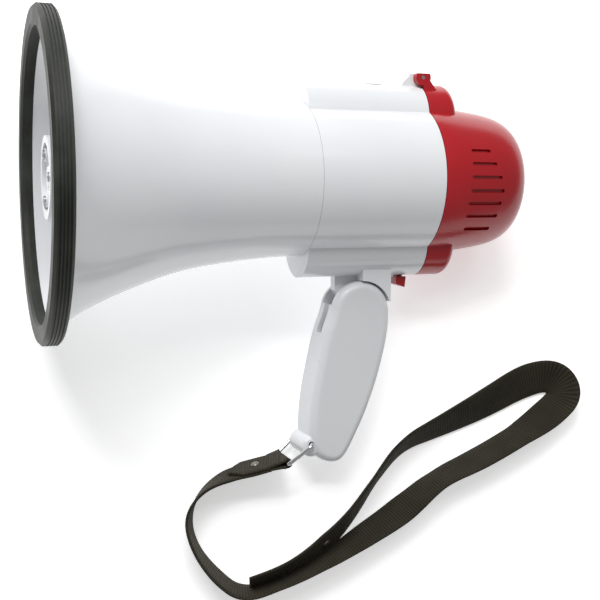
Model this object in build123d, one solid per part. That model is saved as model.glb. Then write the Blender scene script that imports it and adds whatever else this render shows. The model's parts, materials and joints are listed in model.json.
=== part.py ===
from build123d import *
import os
from math import cos, radians, sin, sqrt, tan

# A handheld megaphone: flared horn, re-entrant reflector, driver, battery housing, hinged rear cap
# with the microphone, folding handle and a wrist strap. All lengths are in millimetres.
# The parts are drawn upright: X from the mouth to the rear, Z up away from the handle, Y across.
# REST then lays the whole megaphone on its side, on the floor, as it is stored.

REST_PITCH = 11.053    # the rear is lower than the rim, so the body touches at both
REST_LEAN = 16.327     # the handle droops until its tip touches the floor
REST_LIFT = (-118.232, 32.158, 80.010)

RIM_R = 80.0
RIM_DEPTH = 9.0
OPENING_R = 70.0
WALL = 2.4
BELL = [(3.5, 76.0), (9.0, 71.5), (22.0, 63.4), (36.0, 57.1), (52.0, 51.1), (70.0, 45.8), (90.0, 42.4),
        (110.0, 40.3), (132.0, 39.4)]
BELL_IN = [(3.5, 73.0), (9.0, 68.7), (22.0, 60.9), (36.0, 54.8), (52.0, 48.8), (70.0, 43.5), (90.0, 40.1),
           (110.0, 38.1), (132.0, 37.2)]

FIN_ANGLES = (20.0, 140.0, 260.0)
SCREW_ANGLES = (90.0, 210.0, 330.0)

HOUSING_X = 132.0
HOUSING_R = 39.4
BORE_R = 37.0
CAP_X = 198.0
CHANNEL_R = 19.0
CHANNEL_Z = 31.6      # centre of the arch that rounds each channel off
BULKHEAD_X = 142.5

CELL_R = 13.0
CELL_POS = 13.7
CELL_X = 148.0
CELL_LENGTH = 48.2
NUB_R = 2.8
NUB_LENGTH = 1.7
SPRING_HALF = 0.35     # half the thickness of a contact spring's wire
SPRING_WIDE = 5.0
SPRING_NARROW = 2.8
CELLS_FORWARD = [(-CELL_POS, CELL_POS), (CELL_POS, -CELL_POS)]
CELLS_BACKWARD = [(-CELL_POS, -CELL_POS), (CELL_POS, CELL_POS)]

CAP_GAP = 0.4
DOME = [(198.4, 39.4), (208.0, 39.0), (216.0, 38.2), (226.0, 37.0), (235.0, 35.6), (242.4, 33.6),
        (247.9, 30.4), (251.0, 26.2), (252.0, 20.0), (252.6, 10.0), (252.8, 0.0)]
COLLAR_END = 214.8
GRIP_SLOTS = [(14.6, 213.7, 225.7), (8.0, 213.5, 228.7), (1.2, 213.2, 231.8), (-5.6, 212.7, 233.6),
              (-12.0, 212.0, 232.8), (-18.5, 212.3, 232.0), (-25.2, 213.7, 230.0)]
HINGE_X = 198.1
HINGE_Z = 53.3
HINGE_PIN_R = 1.0

LUG_SCREW_X = (168.5, 176.0)
SIREN_X = 172.0
SIREN_R = 8.0
TALK_X = 189.7

PIVOT_X = 164.5
PIVOT_Z = -68.6
PIVOT_R = 2.5
PIN_HALF = 10.2       # the pin ends inside the cheeks, so it doesn't show
HEAD_R = 15.8
HANDLE_HALF = 12.0
HANDLE_ROUND = 4.0
HANDLE_WALL = 2.4
CHEEK_IN = 6.4
EYE_R = 11.0
EYE_HALF = 6.0
WEB_HALF = 2.8
HANDLE_OUTLINE = [(180.3, -75.0), (178.3, -88.0), (174.8, -101.5), (170.6, -114.0), (165.8, -125.6),
                  (161.4, -134.5), (157.8, -141.2), (152.4, -147.0), (145.0, -146.8), (139.4, -143.0),
                  (136.4, -136.5), (136.0, -126.0), (137.2, -113.4), (139.2, -102.1), (141.8, -90.0),
                  (145.2, -77.0)]
HANDLE_SCREWS = [(147.0, -98.0), (168.0, -96.0), (149.0, -134.0)]
BOSS_R = 5.6          # the rounded corner that carries the strap ring

RING_X = 136.4
RING_Z = -136.9
RING_WIRE_R = 1.1
RING_HALF = 13.4       # half of the side that runs through the handle
RING_STRAP_HALF = 10.6  # half of the narrower side that carries the strap
RING_LENGTH = 15.5
RING_ANGLE = 218.0    # direction of the ring's closed end, from +X towards +Z

RUN_CLEARANCE = 0.05  # radial, between a turning shaft and its hole

# The strap's middle line, from just outside the ring's swing, round the loop, and back to where
# its end is sewn on.
# These are places in the finished frame, just above the floor that the megaphone lies on.
STRAP_R = 2.0
STRAP_ROUTE = [(-9.6, -110.2, 12.6), (-20.2, -112.0, 10.5), (-34.2, -114.0, 9.5), (-48.2, -121.0, 9.5),
               (-56.2, -134.0, 9.5), (-53.2, -150.0, 9.5), (-43.2, -165.0, 9.5), (-31.2, -175.5, 9.5),
               (-13.2, -173.0, 9.0), (10.8, -165.0, 9.0), (35.8, -152.5, 8.5), (58.8, -141.0, 8.0),
               (79.8, -126.0, 8.5), (103.8, -118.0, 8.5), (128.8, -107.0, 8.0), (147.8, -97.0, 7.0),
               (160.8, -87.0, 7.0), (155.8, -75.0, 6.5), (138.8, -76.0, 6.0), (111.8, -88.0, 7.0),
               (84.8, -98.0, 8.5), (61.8, -106.0, 9.5), (44.8, -124.0, 9.5), (30.8, -141.0, 9.5),
               (15.8, -154.0, 9.0), (-0.2, -163.0, 9.0), (-14.2, -167.5, 9.0), (-26.2, -170.0, 9.0)]


def rod_x(radius, x0, x1, y=0.0, z=0.0):
    """A cylinder along X."""
    return Pos((x0 + x1) / 2, y, z) * Rot(0, 90, 0) * Cylinder(radius, x1 - x0)


def rod_y(radius, y0, y1, x, z):
    """A cylinder along Y."""
    return Pos(x, (y0 + y1) / 2, z) * Rot(90, 0, 0) * Cylinder(radius, y1 - y0)


def rod_z(radius, z0, z1, x, y=0.0):
    """A cylinder along Z."""
    return Pos(x, y, (z0 + z1) / 2) * Cylinder(radius, z1 - z0)


def block(x0, x1, y0, y1, z0, z1):
    """A box between two corners."""
    return Pos((x0 + x1) / 2, (y0 + y1) / 2, (z0 + z1) / 2) * Box(x1 - x0, y1 - y0, z1 - z0)


def turned(points):
    """A solid of revolution about X from (x, radius) corners."""
    face = make_face(Polyline(*[(x, 0, r) for x, r in points], close=True))
    return revolve(face, axis=Axis.X)


def turned_curve(points):
    """A solid of revolution about X under a smooth profile, filled to the axis."""
    line = Spline(*[(x, 0, r) for x, r in points])
    first, last = points[0], points[-1]
    edges = [line, Line((first[0], 0, first[1]), (first[0], 0, 0))]
    if last[1] > 0:
        edges.append(Line((last[0], 0, last[1]), (last[0], 0, 0)))
    edges.append(Line((first[0], 0, 0), (last[0], 0, 0)))
    return revolve(make_face(edges), axis=Axis.X)


def prism_y(points, y0, y1):
    """A straight-edged outline in XZ, extruded across."""
    face = make_face(Polyline(*[(x, y0, z) for x, z in points], close=True))
    return extrude(face, amount=y1 - y0, dir=(0, 1, 0))


def bell_solid():
    return turned_curve(BELL)


def bell_space():
    return turned_curve(BELL_IN)


def horn_bell():
    lip = turned([(3.5, 73.0), (3.5, 76.0), (2.6, 77.0), (2.2, 76.4), (2.6, 73.6)])
    spigot = rod_x(36.8, 131.0, 137.0) - rod_x(35.0, 130.0, 138.0)
    neck = rod_x(39.0, 129.5, 132.0) - rod_x(35.0, 129.0, 133.0)
    return bell_solid() - bell_space() + lip + neck + spigot


def rim_guard():
    section = [(0.0, 71.4), (0.0, 78.6), (1.4, 80.0), (7.8, 80.0), (9.0, 78.8), (9.0, 71.0), (3.4, 70.0),
               (1.2, 70.0)]
    body = turned(section)
    for x in (2.6, 4.1, 5.6, 7.1):
        body -= rod_x(81.0, x - 0.35, x + 0.35) - rod_x(79.4, x - 1, x + 1)
    return body - horn_bell()


def reflector():
    section = [(5.4, 20.0), (5.4, 16.5), (7.6, 16.5), (7.6, 6.0), (6.4, 5.0), (6.4, 0.0), (9.8, 0.0),
               (9.8, 17.4), (70.0, 21.8), (70.0, 23.8), (12.0, 20.4)]
    body = turned(section)
    for angle in FIN_ANGLES:
        body += Rot(angle, 0, 0) * block(11.0, 36.0, -1.2, 1.2, 19.5, 70.0)
    for angle in SCREW_ANGLES:
        body += Rot(angle, 0, 0) * rod_x(3.4, 6.0, 9.0, 0.0, 12.6)
        body -= Rot(angle, 0, 0) * rod_x(1.3, 5.0, 12.0, 0.0, 12.6)
    return body & bell_space()


def reflector_screws():
    made = []
    for angle in SCREW_ANGLES:
        screw = rod_x(2.3, 4.8, 6.0, 0.0, 12.6) + rod_x(1.3, 6.0, 11.0, 0.0, 12.6)
        screw -= block(4.6, 5.3, -1.8, 1.8, 12.3, 12.9)
        screw -= block(4.6, 5.3, -0.3, 0.3, 10.8, 14.4)
        made.append(Rot(angle, 0, 0) * screw)
    return Compound(made)


def driver_screw_places():
    return [(31.0 * cos(radians(a)), 31.0 * sin(radians(a))) for a in (45, 135, 225, 315)]


def horn_base():
    plate = rod_x(60.0, 115.0, 118.0) & bell_space()
    plate -= rod_x(8.0, 114.0, 119.0)
    for y, z in driver_screw_places():
        plate -= rod_x(1.4, 114.0, 119.0, y, z)
    return plate


def tone_tube():
    return turned([(26.0, 11.0), (26.0, 12.6), (115.0, 9.6), (115.0, 8.0)])


def phase_plug():
    plug = rod_x(8.0, 115.4, 117.6)
    for k in range(6):
        plug -= Rot(60 * k, 0, 0) * rod_x(1.5, 115.0, 118.0, 0.0, 4.9)
    return plug


def diaphragm():
    return turned([(120.6, 24.0), (120.6, 13.0), (119.2, 7.0), (118.7, 0.0), (119.1, 0.0), (119.6, 7.0),
                   (121.0, 12.9), (121.0, 24.0)])


def voice_coil():
    return rod_x(12.9, 121.0, 128.0) - rod_x(12.45, 120.0, 129.0)


def driver_frame():
    frame = rod_x(34.0, 118.0, 124.0) - rod_x(23.0, 117.0, 125.0)
    frame -= rod_x(24.0, 120.6, 121.0)
    for y, z in driver_screw_places():
        frame -= rod_x(1.4, 117.0, 125.0, y, z)
    return frame


def driver_screws():
    made = []
    for y, z in driver_screw_places():
        screw = rod_x(2.6, 124.0, 125.8, y, z) + rod_x(1.4, 115.6, 124.0, y, z)
        made.append(screw - block(125.0, 126.0, y - 2.0, y + 2.0, z - 0.35, z + 0.35))
    return Compound(made)


def top_plate():
    return rod_x(27.0, 124.0, 128.0) - rod_x(13.4, 123.0, 129.0)


def magnet_ring():
    return rod_x(28.0, 128.0, 137.6) - rod_x(16.0, 127.0, 139.0)


def pole_yoke():
    return rod_x(26.5, 137.6, 141.2) + rod_x(12.0, 124.4, 137.6)


def channel(x0, x1, side, radius):
    """One of the two arch-shaped channels, from the body's axis outward; side is 1 on top."""
    arch = rod_x(radius, x0, x1, 0.0, side * CHANNEL_Z)
    low, high = sorted((0.0, side * CHANNEL_Z))
    return arch + block(x0, x1, -radius, radius, low, high)


def knuckle():
    """The fairing and hinge knuckle on the rear of the top channel."""
    fairing = rod_y(10.5, -7.5, 7.5, 197.0, 44.8) & block(186.0, 197.0, -8, 8, 44.8, 56.0)
    eye = rod_y(2.6, -7.5, 7.5, HINGE_X, HINGE_Z)
    neck = block(192.0, HINGE_X, -7.5, 7.5, 48.0, HINGE_Z + 2.0) & block(190.0, 197.9, -8, 8, 48.0, 56.0)
    return fairing + neck + eye - rod_y(HINGE_PIN_R, -8, 8, HINGE_X, HINGE_Z)


def main_housing():
    body = rod_x(HOUSING_R, HOUSING_X, CAP_X)
    for side in (1, -1):
        body += channel(HOUSING_X, CAP_X, side, CHANNEL_R)
    body += knuckle()
    body -= rod_x(BORE_R, HOUSING_X - 1, BULKHEAD_X)
    body -= rod_x(BORE_R, BULKHEAD_X + 2.0, CAP_X + 1)
    for side in (1, -1):
        body -= channel(HOUSING_X + WALL, CAP_X + 1, side, CHANNEL_R - WALL) - rod_x(39.0, 120.0, 210.0)
    body += rod_x(36.6, 194.0, 201.5) - rod_x(35.2, 193.0, 202.0)
    body += rod_x(BORE_R, 194.0, 196.0) - rod_x(35.2, 193.0, 197.0)
    body -= rod_z(SIREN_R + 0.35, 44.0, 52.0, SIREN_X)
    body -= block(183.8, 192.2, -2.4, 2.4, -52.0, -46.0)
    body -= rod_z(2.2, 35.0, 41.0, 138.6)
    body -= rod_z(2.2, -41.0, -35.0, 147.2)
    for x in LUG_SCREW_X:
        body -= rod_z(1.5, -52.0, -46.0, x)
    return body


def battery_sleeve():
    """Four tubes between two discs, with a hole down the middle."""
    body = rod_x(36.5, 146.5, 148.5) + rod_x(34.6, 188.0, 190.0)
    for y in (-CELL_POS, CELL_POS):
        for z in (-CELL_POS, CELL_POS):
            body += rod_x(14.6, 146.5, 190.0, y, z)
    for y in (-CELL_POS, CELL_POS):
        for z in (-CELL_POS, CELL_POS):
            body -= rod_x(13.3, 147.9, 191.0, y, z)
            body -= rod_x(6.0, 146.0, 149.0, y, z)
    return body - rod_x(3.5, 146.0, 191.0)


def cell(y, z, nub_forward):
    """A cylindrical cell with its raised contact at one end."""
    start = CELL_X + (NUB_LENGTH if nub_forward else 0.0)
    body = rod_x(CELL_R, start, start + CELL_LENGTH, y, z)
    if nub_forward:
        nub = rod_x(NUB_R, CELL_X, start, y, z)
    else:
        nub = rod_x(NUB_R, start + CELL_LENGTH, start + CELL_LENGTH + NUB_LENGTH, y, z)
    groove = rod_x(CELL_R + 1, start + 1.6, start + 2.2, y, z) - rod_x(CELL_R - 0.3, start, start + 3, y, z)
    return body + nub - groove


def contact_spring(height):
    """A conical contact spring along +X from its plate at 0, as flat coils joined by a sloping leaf."""
    wide, narrow, half = SPRING_WIDE, SPRING_NARROW, SPRING_HALF
    leaf = [(-0.1, wide - half), (-0.1, wide + half), (height, narrow + half), (height, narrow - half)]
    spring = prism_y(leaf, -half, half)
    for share in (0.0, 0.5, 1.0):
        radius = wide + (narrow - wide) * share
        x = half * 0.8 + (height - 1.8 * half) * share
        spring += rod_x(radius + half, x - half, x + half) - rod_x(radius - half, x - 1, x + 1)
    return spring


def front_contacts():
    """The contact plates on the bulkhead, with a spring for each cell that faces rearward."""
    plate = block(144.5, 145.0, -8.0, 8.0, -8.0, 8.0)
    for y in (-CELL_POS, CELL_POS):
        for z in (-CELL_POS, CELL_POS):
            plate += block(144.5, 145.0, y - 7.0, y + 7.0, z - 7.0, z + 7.0)
    for y, z in CELLS_BACKWARD:
        plate += Pos(145.0, y, z) * contact_spring(CELL_X - 145.0)
    for y, z in CELLS_FORWARD:
        plate += rod_x(2.4, 145.0, 148.0, y, z)
    return plate


def circuit_board():
    board = block(137.0, 194.0, -12.5, 12.5, 39.2, 40.4)
    return board - rod_z(1.2, 38.0, 41.0, 142.0, 8.0) - rod_z(1.2, 38.0, 41.0, 190.0, -8.0)


def board_transformer():
    core = block(144.0, 156.0, -5.5, 5.5, 40.4, 46.4)
    return core + block(142.6, 144.0, -3.5, 3.5, 41.2, 45.6) + block(156.0, 157.4, -3.5, 3.5, 41.2, 45.6)


def board_chips():
    first = block(159.5, 163.0, 2.0, 8.0, 40.4, 42.0)
    second = block(181.5, 188.5, -9.5, -5.0, 40.4, 42.4)
    return Compound([first, second])


def board_capacitors():
    made = [rod_z(2.5, 40.4, 46.0, 184.5, 2.5), rod_z(2.5, 40.4, 46.0, 190.5, 2.5)]
    made.append(rod_z(2.0, 40.4, 45.0, 160.5, -4.5))
    return Compound(made)


def tact_switch():
    return block(168.8, 175.2, -3.2, 3.2, 40.4, 41.2) + rod_z(1.7, 41.2, 41.6, SIREN_X)


def siren_button():
    """A flush round button, cut to the arch of the channel."""
    crown = rod_z(SIREN_R, 45.0, 52.0, SIREN_X) & rod_x(CHANNEL_R - 0.1, 150.0, 190.0, 0.0, CHANNEL_Z)
    flange = rod_z(8.8, 43.6, 45.0, SIREN_X)
    dish = Pos(SIREN_X, 0, 50.5 + 30.0) * Sphere(30.9)
    return crown + flange + rod_z(1.6, 43.1, 43.6, SIREN_X) - dish


def talk_lever():
    """The thumb lever under the housing, with its stem and retaining foot inside the channel."""
    x = TALK_X
    pad = prism_y([(x - 3.4, -51.1), (x + 2.6, -51.1), (x + 1.9, -56.8), (x - 2.9, -55.2)], -5.0, 5.0)
    stem = block(x - 1.6, x + 1.6, -2.0, 2.0, -51.2, -46.6)
    foot = block(x - 2.6, x + 2.6, -4.2, 4.2, -47.0, -45.6)
    nose = block(x - 1.0, x + 1.0, -1.5, 1.5, -45.6, -44.2)
    return pad + stem + foot + nose


def talk_switch():
    x = TALK_X
    knob = block(x - 0.5, x + 0.5, -1.5, 1.5, -43.9, -42.6)
    return block(x - 9.0, x + 5.0, -4.0, 4.0, -42.6, -39.4) + knob


def cap_space():
    """The hollow of the rear cap."""
    inner = [(198.0, 37.1), (216.0, 36.0), (235.0, 33.2), (242.0, 31.3), (246.4, 28.4), (249.0, 24.0),
             (249.8, 18.0), (250.2, 0.0)]
    body = turned(inner + [(198.0, 0.0)])
    for side in (1, -1):
        body += channel(198.0, COLLAR_END - 2.8, side, CHANNEL_R - WALL) & block(198, 212, -30, 30, -48, 48)
    return body


def dome_band(depth):
    """The dome's outer skin, to cut the grip slots to an even depth."""
    inner = [(x, max(r - depth, 0.0)) for x, r in DOME[:-1]]
    return turned_curve(DOME) - turned_curve([(DOME[0][0] - 1.0, DOME[0][1] - depth)] + inner
                                             + [(DOME[-1][0] - depth, 0.0)])


def hinge_ears():
    """Two ears that carry the hinge pin, one on each side of the knuckle."""
    made = []
    for y0, y1 in ((-11.5, -7.9), (7.9, 11.5)):
        eye = rod_y(4.2, y0, y1, HINGE_X, HINGE_Z) & block(190.0, 204.0, -12, 12, 45.0, HINGE_Z + 2.0)
        strut = prism_y([(HINGE_X, 49.4), (HINGE_X + 1.6, HINGE_Z + 2.0), (HINGE_X, HINGE_Z + 2.0)], y0, y1)
        strut += prism_y([(HINGE_X + 0.3, 44.0), (HINGE_X + 0.3, HINGE_Z + 2.0), (199.2, HINGE_Z + 2.0),
                          (205.6, 47.0), (205.6, 44.0)], y0, y1)
        made.append(eye + strut - rod_y(HINGE_PIN_R + RUN_CLEARANCE, -12, 12, HINGE_X, HINGE_Z))
    return made


def rear_cap():
    body = turned_curve(DOME)
    for side in (1, -1):
        arch = channel(CAP_X + CAP_GAP, COLLAR_END, side, CHANNEL_R)
        ends = arch.edges().group_by(Axis.X)[-1].filter_by(lambda e: abs(e.center().Z) > 20.0)
        body += fillet(ends, 4.0)
    for ear in hinge_ears():
        body += ear
    body -= cap_space()
    band = dome_band(1.3)
    for z, x0, x1 in GRIP_SLOTS:
        bar = block(x0 + 0.9, x1 - 0.9, -45.0, 45.0, z - 0.9, z + 0.9)
        bar += rod_y(0.9, -45.0, 45.0, x0 + 0.9, z) + rod_y(0.9, -45.0, 45.0, x1 - 0.9, z)
        body -= bar & band
    for k in range(-2, 3):
        half = sqrt(12.0 ** 2 - (k * 4.2) ** 2)
        body -= block(248.0, 255.0, -half, half, k * 4.2 - 0.8, k * 4.2 + 0.8)
    return body


def hinge_pin():
    return rod_y(HINGE_PIN_R, -11.3, 11.3, HINGE_X, HINGE_Z)


def rear_contacts():
    """The board in the cap that joins the cells in series, with its springs."""
    board = rod_x(32.0, 203.4, 205.0) - rod_x(3.0, 203.0, 206.0)
    for y, z in CELLS_FORWARD:
        board += Pos(203.4, y, z) * Rot(0, 180, 0) * contact_spring(4.4)
    for y, z in CELLS_BACKWARD:
        board += rod_x(2.4, 198.5, 203.4, y, z)
    return board


def contact_posts():
    """The posts that carry the contact board on the inside of the dome."""
    made = []
    for angle in (0, 90, 180, 270):
        made.append(Rot(angle, 0, 0) * rod_x(2.5, 205.0, 248.8, 0.0, 22.0))
    return Compound(made)


def mic_board():
    board = rod_x(26.0, 230.4, 232.0)
    for angle in (0, 90, 180, 270):
        board -= Rot(angle, 0, 0) * rod_x(2.5, 229.0, 233.0, 0.0, 22.0)
    return board


def mic_capsule():
    return rod_x(4.8, 239.9, 245.9) - rod_x(1.0, 245.2, 246.4)


def mic_holder():
    return rod_x(8.5, 232.0, 245.9) - rod_x(4.8, 238.4, 246.4) - rod_x(3.2, 231.4, 239.4)


def mic_foam():
    return rod_x(13.0, 245.9, 249.7)


def handle_lug():
    """The bracket under the housing: a full-width rear block, a thin front web and the pivot eye."""
    rear = block(PIVOT_X, 180.4, -HANDLE_HALF, HANDLE_HALF, -63.5, -40.0)
    rear -= rod_y(HEAD_R + 0.4, -20, 20, PIVOT_X, PIVOT_Z)
    web = prism_y([(152.2, -40.0), (152.2, -57.5), (156.0, -62.0), (PIVOT_X, PIVOT_Z), (172.0, -62.0),
                   (172.0, -40.0)], -WEB_HALF, WEB_HALF)
    neck = prism_y([(PIVOT_X + 0.5, -40.0), (PIVOT_X + 0.5, PIVOT_Z), (PIVOT_X + EYE_R, PIVOT_Z),
                    (180.4, -58.0), (180.4, -40.0)], -EYE_HALF, EYE_HALF)
    eye = rod_y(EYE_R, -EYE_HALF, EYE_HALF, PIVOT_X, PIVOT_Z)
    body = rear + web + neck + eye - channel(100.0, 260.0, -1, CHANNEL_R)
    body -= rod_y(PIVOT_R + RUN_CLEARANCE, -20, 20, PIVOT_X, PIVOT_Z)
    for x in LUG_SCREW_X:
        body -= rod_z(1.5, -58.0, -45.0, x)
    return body


def lug_screws():
    made = []
    for x in LUG_SCREW_X:
        screw = rod_z(2.8, -47.9, -46.2, x) + rod_z(1.5, -57.5, -47.9, x)
        made.append(screw - block(x - 2.2, x + 2.2, -0.35, 0.35, -46.9, -46.0))
    return Compound(made)


def head_point(angle, radius=HEAD_R):
    return (PIVOT_X + radius * cos(radians(angle)), PIVOT_Z + radius * sin(radians(angle)))


def handle_points():
    return [head_point(a) for a in (168, 145, 120, 95, 70, 45, 20, 0)] + HANDLE_OUTLINE


def moved_in(points, inset):
    """The points of a closed clockwise outline, each moved inward along its normal."""
    moved = []
    for k, (x, z) in enumerate(points):
        before, after = points[k - 1], points[(k + 1) % len(points)]
        dx, dz = after[0] - before[0], after[1] - before[1]
        length = sqrt(dx * dx + dz * dz)
        moved.append((x + inset * dz / length, z - inset * dx / length))
    return moved


def handle_outline(inset=0.0):
    """The handle's side outline, as a smooth closed curve."""
    points = moved_in(handle_points(), inset)
    return make_face(Spline(*[(x, 0, z) for x, z in points], periodic=True))


def handle_blank():
    """The closed handle before it is split: rounded outside, hollow inside."""
    slab = extrude(handle_outline(), amount=HANDLE_HALF, both=True)
    sides = slab.edges().filter_by(lambda e: abs(abs(e.center().Y) - HANDLE_HALF) < 0.01)
    slab = fillet(sides, HANDLE_ROUND) + strap_boss()
    space = extrude(handle_outline(HANDLE_WALL), amount=HANDLE_HALF - HANDLE_WALL, both=True)
    head = rod_y(HEAD_R + 1.0, -CHEEK_IN, CHEEK_IN, PIVOT_X, PIVOT_Z)
    space -= rod_y(HEAD_R + 1.0, -20, -CHEEK_IN, PIVOT_X, PIVOT_Z)
    space -= rod_y(HEAD_R + 1.0, CHEEK_IN, 20, PIVOT_X, PIVOT_Z)
    body = slab - space - head_opening() - rod_y(EYE_R + 0.5, -CHEEK_IN, CHEEK_IN, PIVOT_X, PIVOT_Z)
    body -= block(138.0, 154.0, -WEB_HALF - 0.4, WEB_HALF + 0.4, -80.0, -58.0)
    body -= rod_y(PIVOT_R, -PIN_HALF, PIN_HALF, PIVOT_X, PIVOT_Z)
    return body - rod_y(RING_WIRE_R + 0.4, -20, 20, RING_X, RING_Z)


def strap_boss():
    boss = rod_y(BOSS_R, -HANDLE_HALF + 1.0, HANDLE_HALF - 1.0, RING_X + 0.6, RING_Z - 1.4)
    return fillet(boss.edges(), 2.5)


def head_opening():
    """The gap between the cheeks that the lug's eye and neck swing through."""
    far = 30.0
    corners = [(PIVOT_X, PIVOT_Z)]
    for angle in (-8, 40, 80, 120, 166):
        corners.append(head_point(angle, far))
    return prism_y(corners, -CHEEK_IN, CHEEK_IN)


def handle_left():
    body = handle_blank() & block(100, 220, -20, 0, -180, -40)
    for x, z in HANDLE_SCREWS:
        body += rod_y(3.0, -10.0, 0.0, x, z)
        body -= rod_y(1.2, -8.0, 0.1, x, z)
    return body


def handle_right():
    body = handle_blank() & block(100, 220, 0, 20, -180, -40)
    for x, z in HANDLE_SCREWS:
        body += rod_y(3.6, 0.0, 10.0, x, z)
        body -= rod_y(1.2, -0.1, 20.0, x, z)
        body -= rod_y(2.6, 4.0, 20.0, x, z)
    return body


def handle_screws():
    made = []
    for x, z in HANDLE_SCREWS:
        screw = rod_y(2.4, 4.0, 6.0, x, z) + rod_y(1.2, -6.0, 4.0, x, z)
        made.append(screw - block(x - 1.8, x + 1.8, 5.3, 6.5, z - 0.3, z + 0.3))
    return Compound(made)


def pivot_pin():
    return rod_y(PIVOT_R, -PIN_HALF, PIN_HALF, PIVOT_X, PIVOT_Z)


def strap_ring():
    """A closed wire loop through the handle's lower corner."""
    u = (cos(radians(RING_ANGLE)), sin(radians(RING_ANGLE)))
    near = (RING_X, -RING_HALF, RING_Z)
    far = (RING_X, RING_HALF, RING_Z)
    near_end = (RING_X + RING_LENGTH * u[0], -RING_STRAP_HALF, RING_Z + RING_LENGTH * u[1])
    far_end = (RING_X + RING_LENGTH * u[0], RING_STRAP_HALF, RING_Z + RING_LENGTH * u[1])
    path = FilletPolyline(near, far, far_end, near_end, radius=1.8, close=True)
    start = path @ 0.0
    return sweep(Plane(origin=start, z_dir=path % 0.0) * Circle(RING_WIRE_R), path=path)


def strap_path():
    """The strap's route, each corner rounded as far as its shorter run allows."""
    points = [Vector(*p) for p in STRAP_ROUTE]
    edges = []
    before = points[0]
    for k in range(1, len(points) - 1):
        into, out = points[k] - points[k - 1], points[k + 1] - points[k]
        turn = radians(into.get_angle(out))
        reach = 0.45 * min(into.length, out.length)
        start = points[k] - into.normalized() * reach
        end = points[k] + out.normalized() * reach
        radius = reach / tan(turn / 2)
        middle = points[k] + (out.normalized() - into.normalized()).normalized() * (
            radius / cos(turn / 2) - radius)
        edges += [Line(before, start), ThreePointArc(start, middle, end)]
        before = end
    edges.append(Line(before, points[-1]))
    return Wire(edges)


def wrist_strap():
    path = strap_path()
    return sweep(Plane(origin=path @ 0.0, z_dir=path % 0.0) * Circle(STRAP_R), path=path)


def strap_rivets():
    """One rivet through the tab at the ring and one through the sewn end."""
    tab = Pos(-20.2, -112.0, 10.5) * Rot(0, 90, 80) * Cylinder(2.4, 5.2)
    end = Pos(15.8, -154.0, 9.0) * Rot(0, 90, 121) * Cylinder(2.4, 5.2)
    return Compound([tab, end])


PARTS = {
    "horn_bell": horn_bell,
    "rim_guard": rim_guard,
    "reflector": reflector,
    "reflector_screws": reflector_screws,
    "horn_base": horn_base,
    "tone_tube": tone_tube,
    "phase_plug": phase_plug,
    "diaphragm": diaphragm,
    "voice_coil": voice_coil,
    "driver_frame": driver_frame,
    "driver_screws": driver_screws,
    "top_plate": top_plate,
    "magnet_ring": magnet_ring,
    "pole_yoke": pole_yoke,
    "main_housing": main_housing,
    "battery_sleeve": battery_sleeve,
    "front_contacts": front_contacts,
    "circuit_board": circuit_board,
    "board_transformer": board_transformer,
    "board_chips": board_chips,
    "board_capacitors": board_capacitors,
    "tact_switch": tact_switch,
    "siren_button": siren_button,
    "talk_lever": talk_lever,
    "talk_switch": talk_switch,
    "rear_cap": rear_cap,
    "hinge_pin": hinge_pin,
    "rear_contacts": rear_contacts,
    "contact_posts": contact_posts,
    "mic_board": mic_board,
    "mic_capsule": mic_capsule,
    "mic_holder": mic_holder,
    "mic_foam": mic_foam,
    "handle_lug": handle_lug,
    "lug_screws": lug_screws,
    "handle_left": handle_left,
    "handle_right": handle_right,
    "handle_screws": handle_screws,
    "pivot_pin": pivot_pin,
    "strap_ring": strap_ring,
}

REST = Pos(*REST_LIFT) * Rot(0, REST_PITCH, 0) * Rot(REST_LEAN - 90.0, 0, 0)


def save(name, shape):
    export_step(shape, f"parts/{name}.step")
    solids = shape.solids()
    print(name, len(solids), round(sum(s.volume for s in solids)), shape.is_valid)


def main():
    os.makedirs("parts", exist_ok=True)
    for name, make in PARTS.items():
        save(name, REST * make())
    for k, (y, z) in enumerate(CELLS_FORWARD + CELLS_BACKWARD, 1):
        save(f"cell_{k}", REST * cell(y, z, k <= 2))
    save("wrist_strap", wrist_strap())
    save("strap_rivets", strap_rivets())
    print("strap length", round(strap_path().length, 1))


main()
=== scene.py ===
import json
from math import cos, pi, radians, sin

import bmesh
import bpy
from mathutils import Matrix, Vector


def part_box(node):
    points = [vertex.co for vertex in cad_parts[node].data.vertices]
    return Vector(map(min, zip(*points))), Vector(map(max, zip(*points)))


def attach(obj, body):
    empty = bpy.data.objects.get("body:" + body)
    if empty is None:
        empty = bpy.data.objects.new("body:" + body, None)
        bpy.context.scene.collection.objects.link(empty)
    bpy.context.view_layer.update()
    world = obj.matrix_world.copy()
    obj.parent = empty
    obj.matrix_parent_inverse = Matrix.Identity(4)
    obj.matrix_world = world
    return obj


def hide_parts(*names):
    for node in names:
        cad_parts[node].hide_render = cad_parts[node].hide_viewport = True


# Looks for a handheld megaphone that lies on its side on a pale floor. Lengths are in metres.

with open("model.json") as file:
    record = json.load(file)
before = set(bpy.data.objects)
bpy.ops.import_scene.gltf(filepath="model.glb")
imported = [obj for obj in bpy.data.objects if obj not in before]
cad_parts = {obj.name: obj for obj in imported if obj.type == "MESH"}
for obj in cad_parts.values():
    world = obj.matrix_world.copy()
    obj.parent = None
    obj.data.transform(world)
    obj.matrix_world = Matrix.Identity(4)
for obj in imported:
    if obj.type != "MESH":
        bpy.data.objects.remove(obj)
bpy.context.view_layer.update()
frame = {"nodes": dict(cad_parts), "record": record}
nodes = frame["nodes"]

MM = 0.001

# ---------------------------------------------------------------- camera

CAMERA_PLACE = (-0.0745, -0.1204, 0.5686)
CAMERA_RIGHT = (0.9857, -0.0937, 0.1401)
CAMERA_FORWARD = (0.1545, 0.1697, -0.9733)
CAMERA_LENS = 62.8


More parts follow.
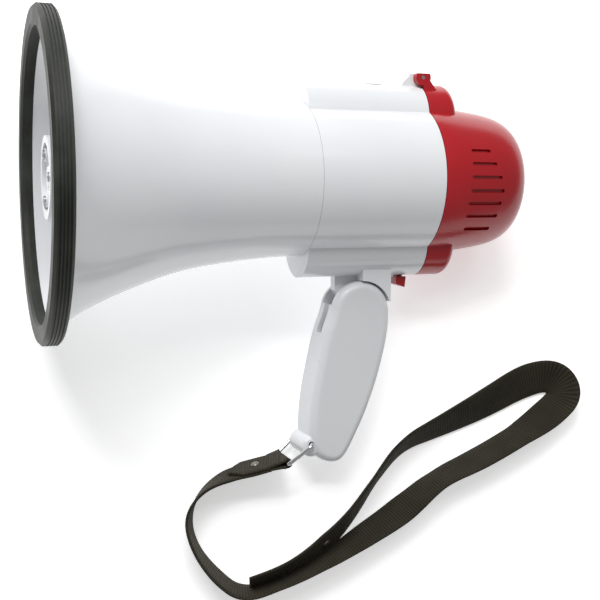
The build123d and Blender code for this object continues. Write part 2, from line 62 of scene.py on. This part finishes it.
def make_camera():
    """The camera stands above the floor, over the megaphone's near side."""
    data = bpy.data.cameras.new("camera")
    data.lens = CAMERA_LENS
    data.sensor_width = 36.0
    data.clip_start = 0.01
    camera = bpy.data.objects.new("camera", data)
    back = -Vector(CAMERA_FORWARD).normalized()
    right = Vector(CAMERA_RIGHT).normalized()
    up = back.cross(right).normalized()
    right = up.cross(back)
    turn = Matrix((right, up, back)).transposed()
    camera.matrix_world = Matrix.Translation(CAMERA_PLACE) @ turn.to_4x4()
    bpy.context.scene.collection.objects.link(camera)
    bpy.context.scene.camera = camera


# ---------------------------------------------------------------- node helpers


def new_material(name):
    """A material with its node tree, its principled shader and a link function."""
    material = bpy.data.materials.new(name)
    material.use_nodes = True
    tree = material.node_tree
    shader = tree.nodes["Principled BSDF"]
    return material, tree, shader


def add_node(tree, kind, **values):
    """A node, with its sockets set by name (spaces as underscores)."""
    node = tree.nodes.new(kind)
    for name, value in values.items():
        node.inputs[name.replace("_", " ")].default_value = value
    return node


def place_texture(tree):
    return tree.nodes.new("ShaderNodeTexCoord").outputs["Object"]


def noise(tree, vector, scale, detail=2.0, rough=0.5):
    node = add_node(tree, "ShaderNodeTexNoise", Scale=scale, Detail=detail, Roughness=rough)
    tree.links.new(vector, node.inputs["Vector"])
    return node.outputs["Fac"]


def spread(tree, value, low, high, start=0.3, stop=0.7):
    """Maps a 0 to 1 value onto a wanted range."""
    node = add_node(tree, "ShaderNodeMapRange")
    tree.links.new(value, node.inputs["Value"])
    node.inputs["From Min"].default_value = start
    node.inputs["From Max"].default_value = stop
    node.inputs["To Min"].default_value = low
    node.inputs["To Max"].default_value = high
    return node.outputs["Result"]


def blend_colours(tree, value, first, second, start=0.35, stop=0.65):
    ramp = tree.nodes.new("ShaderNodeValToRGB")
    ramp.color_ramp.elements[0].position = start
    ramp.color_ramp.elements[0].color = (*first, 1.0)
    ramp.color_ramp.elements[1].position = stop
    ramp.color_ramp.elements[1].color = (*second, 1.0)
    tree.links.new(value, ramp.inputs["Fac"])
    return ramp.outputs["Color"]


def bump(tree, shader, height, distance, strength=1.0):
    node = add_node(tree, "ShaderNodeBump", Strength=strength, Distance=distance)
    tree.links.new(height, node.inputs["Height"])
    tree.links.new(node.outputs["Normal"], shader.inputs["Normal"])
    return node


def math(tree, kind, first, second):
    node = tree.nodes.new("ShaderNodeMath")
    node.operation = kind
    for socket, value in zip(node.inputs, (first, second)):
        if isinstance(value, (int, float)):
            socket.default_value = value
        else:
            tree.links.new(value, socket)
    return node.outputs[0]


# ---------------------------------------------------------------- materials


def moulded_plastic(name, colour, shade, rough, coat=0.0, grain=0.00003, grain_scale=900.0):
    """Moulded plastic: a slow drift of colour, uneven gloss and a faint moulded surface."""
    material, tree, shader = new_material(name)
    place = place_texture(tree)
    drift = noise(tree, place, 18.0)
    tree.links.new(blend_colours(tree, drift, colour, shade), shader.inputs["Base Color"])
    smudge = noise(tree, place, 60.0, 4.0)
    tree.links.new(spread(tree, smudge, rough * 0.85, rough * 1.2), shader.inputs["Roughness"])
    shader.inputs["IOR"].default_value = 1.5
    shader.inputs["Coat Weight"].default_value = coat
    shader.inputs["Coat Roughness"].default_value = 0.05
    bump(tree, shader, noise(tree, place, grain_scale, 3.0), grain)
    return material


def brushed_metal(name, colour, rough, stretch=(1.0, 1.0, 1.0)):
    material, tree, shader = new_material(name)
    scale = add_node(tree, "ShaderNodeMapping", Scale=stretch)
    tree.links.new(place_texture(tree), scale.inputs["Vector"])
    streaks = noise(tree, scale.outputs["Vector"], 1400.0, 3.0)
    dark = tuple(c * 0.75 for c in colour)
    tree.links.new(blend_colours(tree, streaks, dark, colour), shader.inputs["Base Color"])
    tree.links.new(spread(tree, streaks, rough * 0.8, rough * 1.3), shader.inputs["Roughness"])
    shader.inputs["Metallic"].default_value = 1.0
    bump(tree, shader, streaks, 0.00001)
    return material


def rubber(name, colour):
    material, tree, shader = new_material(name)
    place = place_texture(tree)
    bloom = noise(tree, place, 45.0, 5.0, 0.6)
    pale = tuple(c * 1.7 + 0.01 for c in colour)
    tree.links.new(blend_colours(tree, bloom, colour, pale, 0.4, 0.75), shader.inputs["Base Color"])
    tree.links.new(spread(tree, bloom, 0.42, 0.6), shader.inputs["Roughness"])
    shader.inputs["Specular IOR Level"].default_value = 0.3
    bump(tree, shader, noise(tree, place, 1500.0, 3.0), 0.00005)
    return material


RIB_PITCH = 0.0015
YARN_PITCH = 0.0005


def webbing(name):
    """Ribbed webbing: crosswise ribs of fine twisted yarn, with a painted highlight along the ribs' tops.

    The strap's UV map holds metres along and across it."""
    material, tree, shader = new_material(name)
    uv = tree.nodes.new("ShaderNodeUVMap")
    uv.uv_map = "strap"
    parts = tree.nodes.new("ShaderNodeSeparateXYZ")
    tree.links.new(uv.outputs["UV"], parts.inputs["Vector"])
    along, across = parts.outputs["X"], parts.outputs["Y"]
    rib = math(tree, "SINE", math(tree, "MULTIPLY", along, 2 * pi / RIB_PITCH), 0.0)
    yarn_phase = math(tree, "ADD", math(tree, "MULTIPLY", across, 2 * pi / YARN_PITCH),
                      math(tree, "MULTIPLY", along, pi / RIB_PITCH))
    yarn = math(tree, "SINE", yarn_phase, 0.0)
    fuzz = noise(tree, place_texture(tree), 2600.0, 4.0, 0.7)
    patches = noise(tree, place_texture(tree), 70.0, 3.0)
    height = math(tree, "ADD", math(tree, "MULTIPLY", rib, 0.5), math(tree, "MULTIPLY", yarn, 0.3))
    height = math(tree, "ADD", height, math(tree, "MULTIPLY", fuzz, 0.5))
    # Painted highlight: the colour is lighter where the ribs and yarn stand highest, mixed with random
    # patches.
    rib_highlight_and_patches = math(tree, "ADD", math(tree, "MULTIPLY", height, 0.3), math(tree, "MULTIPLY", patches, 0.5))
    colour = blend_colours(tree, rib_highlight_and_patches, (0.012, 0.010, 0.006), (0.052, 0.046, 0.030), 0.1, 0.75)
    tree.links.new(colour, shader.inputs["Base Color"])
    shader.inputs["Roughness"].default_value = 0.85
    shader.inputs["Sheen Weight"].default_value = 0.25
    shader.inputs["Sheen Roughness"].default_value = 0.4
    shader.inputs["Sheen Tint"].default_value = (0.35, 0.32, 0.24, 1.0)
    shader.inputs["Specular IOR Level"].default_value = 0.25
    bump(tree, shader, height, 0.00012, 0.8)
    return material


def circuit_board(name):
    """Green solder mask with a faint pattern of tracks."""
    material, tree, shader = new_material(name)
    tracks = add_node(tree, "ShaderNodeTexVoronoi", Scale=420.0)
    tracks.distance = "MANHATTAN"
    tree.links.new(place_texture(tree), tracks.inputs["Vector"])
    colour = blend_colours(tree, tracks.outputs["Distance"], (0.06, 0.26, 0.12), (0.02, 0.12, 0.06), 0.1, 0.4)
    tree.links.new(colour, shader.inputs["Base Color"])
    shader.inputs["Roughness"].default_value = 0.35
    bump(tree, shader, tracks.outputs["Distance"], 0.00002)
    return material


def foam(name):
    material, tree, shader = new_material(name)
    cells = add_node(tree, "ShaderNodeTexVoronoi", Scale=1600.0)
    tree.links.new(place_texture(tree), cells.inputs["Vector"])
    dark, pale = (0.01, 0.01, 0.01), (0.06, 0.06, 0.06)
    colour = blend_colours(tree, cells.outputs["Distance"], dark, pale, 0.1, 0.6)
    tree.links.new(colour, shader.inputs["Base Color"])
    shader.inputs["Roughness"].default_value = 0.95
    bump(tree, shader, cells.outputs["Distance"], 0.0003)
    return material


def make_materials():
    """One material for each of the record's slots."""
    white = (0.83, 0.845, 0.865)
    return {
        "white_plastic": moulded_plastic("white_plastic", white, (0.80, 0.82, 0.845), 0.2, 0.35),
        "handle_plastic": moulded_plastic("handle_plastic", (0.76, 0.775, 0.79), (0.73, 0.745, 0.765),
                                          0.32, 0.1, 0.00005, 1300.0),
        "red_plastic": moulded_plastic("red_plastic", (0.43, 0.008, 0.014), (0.36, 0.006, 0.011), 0.22, 0.12),
        "grey_plastic": moulded_plastic("grey_plastic", (0.40, 0.42, 0.43), (0.35, 0.37, 0.38), 0.4),
        "black_plastic": moulded_plastic("black_plastic", (0.025, 0.025, 0.027), (0.04, 0.04, 0.042), 0.45),
        "black_rubber": rubber("black_rubber", (0.022, 0.024, 0.019)),
        "screw_steel": brushed_metal("screw_steel", (0.58, 0.58, 0.57), 0.3),
        "plated_steel": brushed_metal("plated_steel", (0.66, 0.65, 0.62), 0.35),
        "spring_steel": brushed_metal("spring_steel", (0.72, 0.72, 0.70), 0.22),
        "rivet_steel": brushed_metal("rivet_steel", (0.30, 0.27, 0.23), 0.42),
        "ring_chrome": brushed_metal("ring_chrome", (0.80, 0.80, 0.80), 0.14),
        "copper": brushed_metal("copper", (0.72, 0.38, 0.2), 0.3, (8.0, 1.0, 1.0)),
        "ferrite": moulded_plastic("ferrite", (0.05, 0.05, 0.055), (0.08, 0.08, 0.085), 0.6, 0.0, 0.0001),
        "film": moulded_plastic("film", (0.55, 0.42, 0.2), (0.5, 0.36, 0.16), 0.25),
        "cell_wrap": moulded_plastic("cell_wrap", (0.05, 0.11, 0.32), (0.04, 0.09, 0.28), 0.25, 0.5),
        "board_green": circuit_board("board_green"),
        "foam": foam("foam"),
        # Painted shadow: the grey of the bead that stands for the shadow line in the horn seam.
        "seam": moulded_plastic("seam", (0.30, 0.31, 0.32), (0.24, 0.25, 0.26), 0.6),
        "webbing": webbing("webbing"),
    }


def dress_cad_nodes(materials):
    """Each CAD node gets the finished material of its slot."""
    for part in frame["record"]["subparts"]:
        node = nodes[part["node"]]
        node.data.materials.clear()
        node.data.materials.append(materials[part["material_slot"]])


# ---------------------------------------------------------------- strap

# The strap's route, the same points as in the CAD model, and at each point how far the upper edge leans
# out of the vertical (degrees, to the right of the way it runs) and how far the strap is lifted.
STRAP_ROUTE = [(-9.6, -110.2, 12.6), (-20.2, -112.0, 10.5), (-34.2, -114.0, 9.5), (-48.2, -121.0, 9.5),
               (-56.2, -134.0, 9.5), (-53.2, -150.0, 9.5), (-43.2, -165.0, 9.5), (-31.2, -175.5, 9.5),
               (-13.2, -173.0, 9.0), (10.8, -165.0, 9.0), (35.8, -152.5, 8.5), (58.8, -141.0, 8.0),
               (79.8, -126.0, 8.5), (103.8, -118.0, 8.5), (128.8, -107.0, 8.0), (147.8, -97.0, 7.0),
               (160.8, -87.0, 7.0), (155.8, -75.0, 6.5), (138.8, -76.0, 6.0), (111.8, -88.0, 7.0),
               (84.8, -98.0, 8.5), (61.8, -106.0, 9.5), (44.8, -124.0, 9.5), (30.8, -141.0, 9.5),
               (15.8, -154.0, 9.0), (-0.2, -163.0, 9.0), (-14.2, -167.5, 9.0), (-26.2, -170.0, 9.0)]
STRAP_LEAN = [-19, -21, -18, -2, 10, 12, 18, 18, 11, 15, 32, 41, 27, 33,
              34, 52, 50, 60, 67, 52, 34, 20, 15, 22, 31, 25, 21, 20]
STRAP_LIFT = [4.6, 1.8, 0.4] + [0.0] * 25
STRAP_WIDTH = 19.5 * MM
STRAP_THICK = 1.4 * MM
RIB_STEPS = 4
RIB_DEPTH = 0.1 * MM

# The side of the wire ring that the strap's end folds round, and the tab that lies back on the strap.
RING_SIDE = (-4.3, -108.3, 15.8)
RING_AXIS = (0.184, -0.281, 0.942)
FOLD_RADIUS = 1.9 * MM
TAB_LENGTH = 25.0 * MM
TAB_TAPER = 7.0 * MM
TAB_TIP = 0.25          # width of the tip, as a share of the strap's
TAB_OVERLAP = 5         # stations that the tab starts inside the strap
FOLD_STEPS = 12
TAB_GAP = 1.6 * MM      # between the middles of the tab and of the strap it lies on
TAB_RIVET = (-18.2, -109.5, 12.0)
END_RIVET = (15.8, -154.0, 9.0)


def spline_points(route, name):
    """The points of the smooth line through a route, as Blender's own NURBS spline gives them."""
    curve = bpy.data.curves.new(name, "CURVE")
    curve.dimensions = "3D"
    curve.resolution_u = 16
    spline = curve.splines.new("NURBS")
    spline.points.add(len(route) - 1)
    for point, place in zip(spline.points, route):
        point.co = (*place, 1.0)
    spline.order_u = 3
    spline.use_endpoint_u = True
    holder = bpy.data.objects.new(name, curve)
    bpy.context.scene.collection.objects.link(holder)
    bpy.context.view_layer.update()
    mesh = bpy.data.meshes.new_from_object(holder.evaluated_get(bpy.context.evaluated_depsgraph_get()))
    points = [v.co.copy() for v in mesh.vertices]
    bpy.data.objects.remove(holder)
    bpy.data.meshes.remove(mesh)
    return points


def lengths_along(points):
    total = [0.0]
    for before, after in zip(points, points[1:]):
        total.append(total[-1] + (after - before).length)
    return total


def between(places, values, where):
    """Values at some places along a line, read at another place on it."""
    for k in range(1, len(places)):
        if where <= places[k]:
            share = (where - places[k - 1]) / (places[k] - places[k - 1])
            return values[k - 1] + (values[k] - values[k - 1]) * share
    return values[-1]


def eased(values, rounds=2):
    """A list with its steps softened, its ends kept."""
    for _ in range(rounds):
        inner = [(a + 2 * b + c) / 4 for a, b, c in zip(values, values[1:], values[2:])]
        values = [values[0]] + inner + [values[-1]]
    return values


def even_line(points, step):
    """A line's points again, at even steps."""
    total = lengths_along(points)
    count = max(2, round(total[-1] / step))
    return [between(total, points, total[-1] * k / count) for k in range(count + 1)]


def control_places(route, line):
    """How far along the line each point of its route lies nearest."""
    total = lengths_along(line)
    places = []
    first = 0
    for place in route:
        window = range(first, min(first + 260, len(line)))
        nearest = min(window, key=lambda k: (line[k] - place).length)
        if places and total[nearest] <= places[-1]:
            nearest = min(nearest + 1, len(line) - 1)
        places.append(total[nearest])
        first = nearest
    places[0], places[-1] = 0.0, total[-1]
    return places


def ribbon_section(width, thick):
    """The strap's section, as (across, out) pairs: flat faces with rounded, slightly thicker edges."""
    half, deep = width / 2, thick / 2
    edge = deep * 1.12
    side = [(-half + edge, -edge), (-half * 0.6, -deep), (0.0, -deep), (half * 0.6, -deep),
            (half - edge, -edge)]
    turn = [(half - edge + edge * cos(a), edge * sin(a)) for a in (-pi / 4, 0.0, pi / 4)]
    back = [(half - edge, edge), (half * 0.6, deep), (0.0, deep), (-half * 0.6, deep), (-half + edge, edge)]
    other = [(-half + edge - edge * cos(a), -edge * sin(a)) for a in (-pi / 4, 0.0, pi / 4)]
    return side + turn + back + other


def ribbon(name, centres, uprights, widths=None):
    """A ribbed strap along its middle line, with its upward direction across at each point."""
    mesh = bpy.data.meshes.new(name)
    form = bmesh.new()
    uv = form.loops.layers.uv.new("strap")
    total = lengths_along(centres)
    rings = []
    flat = []
    for k, (centre, upright) in enumerate(zip(centres, uprights)):
        run = (centres[min(k + 1, len(centres) - 1)] - centres[max(k - 1, 0)]).normalized()
        up = (upright - run * upright.dot(run)).normalized()
        out = run.cross(up)
        wide = widths[k] if widths else STRAP_WIDTH
        rib = RIB_DEPTH * cos(2 * pi * total[k] / RIB_PITCH)
        section = ribbon_section(wide, STRAP_THICK + rib)
        rings.append([form.verts.new(centre + up * a + out * b) for a, b in section])
        flat.append([a for a, _ in section])
    size = len(rings[0])
    for k in range(len(rings) - 1):
        for j in range(size):
            n = (j + 1) % size
            face = form.faces.new((rings[k][j], rings[k + 1][j], rings[k + 1][n], rings[k][n]))
            face.smooth = True
            spots = ((k, j), (k + 1, j), (k + 1, n), (k, n))
            for loop, (row, column) in zip(face.loops, spots):
                loop[uv].uv = (total[row], flat[row][column])
    form.faces.new(rings[0])
    form.faces.new(list(reversed(rings[-1])))
    bmesh.ops.recalc_face_normals(form, faces=form.faces)
    form.to_mesh(mesh)
    form.free()
    piece = bpy.data.objects.new(name, mesh)
    bpy.context.scene.collection.objects.link(piece)
    return piece


def leaning(run, lean):
    """The direction of a standing strap's width, leant to the right of its run."""
    right = Vector((run.y, -run.x, 0.0)).normalized()
    return right * sin(lean) + Vector((0.0, 0.0, cos(lean)))


def make_strap(material):
    route = [Vector(p) * MM for p in STRAP_ROUTE]
    path = spline_points(route, "strap_line")
    line = even_line(path, RIB_PITCH / RIB_STEPS)
    places = control_places(route, line)
    total = lengths_along(line)
    leans = [between(places, STRAP_LEAN, t) for t in total]
    lifts = [between(places, STRAP_LIFT, t) for t in total]
    leans, lifts = eased(leans, 60), eased(lifts, 60)
    centres, uprights = [], []
    for k, point in enumerate(line):
        run = line[min(k + 1, len(line) - 1)] - line[max(k - 1, 0)]
        lean = radians(leans[k])
        height = STRAP_WIDTH / 2 * cos(lean) + STRAP_THICK / 2 * abs(sin(lean)) + 0.0002 + lifts[k] * MM
        centres.append(Vector((point.x, point.y, height)))
        uprights.append(leaning(run, lean))
    strap = ribbon("wrist_strap_webbing", centres, uprights)
    strap.data.materials.append(material)
    return strap, path, centres, uprights


def outward(centres, uprights, k, toward):
    """The strap's face normal at one of its stations, on the side that toward points to."""
    run = centres[min(k + 1, len(centres) - 1)] - centres[max(k - 1, 0)]
    normal = run.cross(uprights[k]).normalized()
    return normal if normal.dot(toward) > 0 else -normal


def make_tab(material, centres, uprights):
    """The strap's end, folded round the ring and laid back along the strap to a pointed tip."""
    wire = Vector(RING_SIDE) * MM
    axis = Vector(RING_AXIS).normalized()
    toward = centres[0] - wire
    toward = (toward - axis * toward.dot(axis)).normalized()
    side = axis.cross(toward)
    if side.y < 0:
        side = -side
    line = [centres[TAB_OVERLAP], centres[0]]
    tilts = [uprights[TAB_OVERLAP], uprights[0]]
    for k in range(FOLD_STEPS + 1):
        angle = pi * (k / FOLD_STEPS - 0.5)
        line.append(wire + (side * sin(angle) - toward * cos(angle)) * FOLD_RADIUS)
        tilts.append(axis)
    total = lengths_along(centres)
    for k in range(8, len(centres), 6):
        if total[k] > TAB_LENGTH:
            break
        line.append(centres[k] + outward(centres, uprights, k, side) * TAB_GAP)
        tilts.append(uprights[k])
    along = lengths_along(line)
    smooth = even_line(line, RIB_PITCH / RIB_STEPS)
    spots = lengths_along(smooth)
    ups = [between(along, tilts, min(t, along[-1])) for t in spots]
    rise = 1.0 - TAB_TIP
    widths = [STRAP_WIDTH * (TAB_TIP + rise * min(1.0, (spots[-1] - t) / TAB_TAPER)) for t in spots]
    tab = ribbon("strap_tab", smooth, ups, widths=widths)
    tab.data.materials.append(material)
    return tab


# One head of a rivet, as (radius, height) in millimetres, and the radius of its shank.
RIVET_PROFILE = [(0.0, 0.95), (0.5, 0.92), (0.8, 1.02), (1.4, 0.9), (1.9, 0.62), (2.25, 0.25), (2.4, 0.0)]
RIVET_SHANK = 1.2
RIVET_TURNS = 28


def make_rivet(name, material, place, axis, reach):
    """A rivet: a low dimpled head on each face of the webbing, joined by its shank."""
    form = bmesh.new()
    turns = RIVET_TURNS
    profile = [(r, reach / MM + h) for r, h in RIVET_PROFILE]
    profile += [(RIVET_SHANK, reach / MM - 0.1), (RIVET_SHANK, 0.1 - reach / MM)]
    profile += [(r, -reach / MM - h) for r, h in reversed(RIVET_PROFILE)]
    rows = []
    for r, h in profile:
        rows.append([form.verts.new((max(r, 0.01) * cos(2 * pi * j / turns) * MM,
                                     max(r, 0.01) * sin(2 * pi * j / turns) * MM, h * MM))
                     for j in range(turns)])
    for before, after in zip(rows, rows[1:]):
        for j in range(turns):
            n = (j + 1) % turns
            form.faces.new((before[j], before[n], after[n], after[j])).smooth = True
    form.faces.new(rows[0])
    form.faces.new(list(reversed(rows[-1])))
    bmesh.ops.recalc_face_normals(form, faces=form.faces)
    mesh = bpy.data.meshes.new(name)
    turn = axis.to_track_quat("Z", "Y").to_matrix().to_4x4()
    form.transform(Matrix.Translation(place) @ turn)
    form.to_mesh(mesh)
    form.free()
    rivet = bpy.data.objects.new(name, mesh)
    bpy.context.scene.collection.objects.link(rivet)
    rivet.data.materials.append(material)
    return rivet


def make_rivets(material, centres, uprights):
    """One rivet through the tab and the strap, and one through the sewn end."""
    made = []
    for name, place, toward, offset in (("tab_rivet", TAB_RIVET, Vector((0.0, 1.0, 0.0)), TAB_GAP / 2),
                                        ("end_rivet", END_RIVET, Vector((0.0, -1.0, 0.0)), 0.0)):
        spot = Vector(place) * MM
        near = min(range(len(centres)), key=lambda k: (centres[k] - spot).length)
        normal = outward(centres, uprights, near, toward)
        middle = centres[near] + normal * offset
        made.append(make_rivet(name, material, middle, normal, STRAP_THICK / 2 + offset))
    return made


# ---------------------------------------------------------------- painted shadow line at the seam between horn and housing

SEAM_PLACE = 132.0 * MM    # behind the mouth
RIM_MIDDLE = 4.5 * MM
SEAM_RADIUS = 39.4 * MM
SEAM_HALF = 0.12 * MM
SEAM_TURNS = 160
SEAM_SECTION = [(-1.0, -0.3), (-0.6, 0.25), (0.0, 0.4), (0.6, 0.25), (1.0, -0.3)]  # in SEAM_HALFs


def make_seam_shadow(material):
    """A low grey bead where the horn meets the housing: a painted shadow line in place of the fine groove
    there.
    """
    axis = -Vector(frame["record"]["mounts"][0]["axis"]).normalized()
    low, high = (Vector(corner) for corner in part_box("rim_guard"))
    middle = (low + high) / 2 + axis * (SEAM_PLACE - RIM_MIDDLE)
    form = bmesh.new()
    rows = []
    for k in range(SEAM_TURNS):
        turn = 2 * pi * k / SEAM_TURNS
        row = []
        for x, r in SEAM_SECTION:
            reach = SEAM_RADIUS + r * SEAM_HALF
            row.append(form.verts.new((reach * cos(turn), reach * sin(turn), x * SEAM_HALF)))
        rows.append(row)
    for k, row in enumerate(rows):
        after = rows[(k + 1) % len(rows)]
        for j in range(len(row)):
            n = (j + 1) % len(row)
            form.faces.new((row[j], after[j], after[n], row[n])).smooth = True
    bmesh.ops.recalc_face_normals(form, faces=form.faces)
    form.transform(Matrix.Translation(middle) @ axis.to_track_quat("Z", "Y").to_matrix().to_4x4())
    mesh = bpy.data.meshes.new("horn_seam_shadow")
    form.to_mesh(mesh)
    form.free()
    seam = bpy.data.objects.new("horn_seam_shadow", mesh)
    bpy.context.scene.collection.objects.link(seam)
    seam.data.materials.append(material)
    return seam


# ---------------------------------------------------------------- light and floor


def soft_light(name, place, target, size, power, colour=(1.0, 1.0, 1.0)):
    data = bpy.data.lights.new(name, "AREA")
    data.shape = "RECTANGLE"
    data.size, data.size_y = size
    data.energy = power
    data.color = colour
    light = bpy.data.objects.new(name, data)
    light.location = place
    aim = Vector(target) - Vector(place)
    light.rotation_euler = aim.to_track_quat("-Z", "Y").to_euler()
    bpy.context.scene.collection.objects.link(light)


def make_studio():
    floor_mesh = bpy.data.meshes.new("floor")
    reach = 4.0
    corners = [(-reach, -reach, 0.0), (reach, -reach, 0.0), (reach, reach, 0.0), (-reach, reach, 0.0)]
    floor_mesh.from_pydata(corners, [], [(0, 1, 2, 3)])
    floor = bpy.data.objects.new("floor", floor_mesh)
    floor.location.z = -0.0002
    bpy.context.scene.collection.objects.link(floor)
    material, tree, shader = new_material("floor")
    shader.inputs["Base Color"].default_value = (0.95, 0.95, 0.95, 1.0)
    shader.inputs["Roughness"].default_value = 0.7
    shader.inputs["Emission Color"].default_value = (1.0, 1.0, 1.0, 1.0)
    shader.inputs["Emission Strength"].default_value = 0.45
    floor.data.materials.append(material)
    soft_light("key", (-0.25, 0.95, 1.15), (0.0, 0.0, 0.05), (0.8, 0.8), 15.0)
    soft_light("strip", (0.1, 0.62, 1.3), (0.02, 0.03, 0.1), (1.3, 0.13), 5.0)
    world = bpy.data.worlds.new("studio")
    bpy.context.scene.world = world
    world.use_nodes = True
    world.node_tree.nodes["Background"].inputs["Color"].default_value = (1.0, 1.0, 1.0, 1.0)
    world.node_tree.nodes["Background"].inputs["Strength"].default_value = 0.3
    bpy.context.scene.view_settings.view_transform = "Standard"


# ---------------------------------------------------------------- the scene

make_camera()
materials = make_materials()
strap, strap_path, strap_centres, strap_uprights = make_strap(materials["webbing"])
tab = make_tab(materials["webbing"], strap_centres, strap_uprights)
rivets = make_rivets(materials["rivet_steel"], strap_centres, strap_uprights)
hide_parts("wrist_strap")
for rivet in rivets:
    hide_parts("strap_rivets")
    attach(rivet, "housing")
# The grey bead at the horn seam is a painted shadow line.
seam = make_seam_shadow(materials["seam"])
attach(seam, "housing")
for piece in (strap, tab):
    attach(piece, "housing")
dress_cad_nodes(materials)
make_studio()
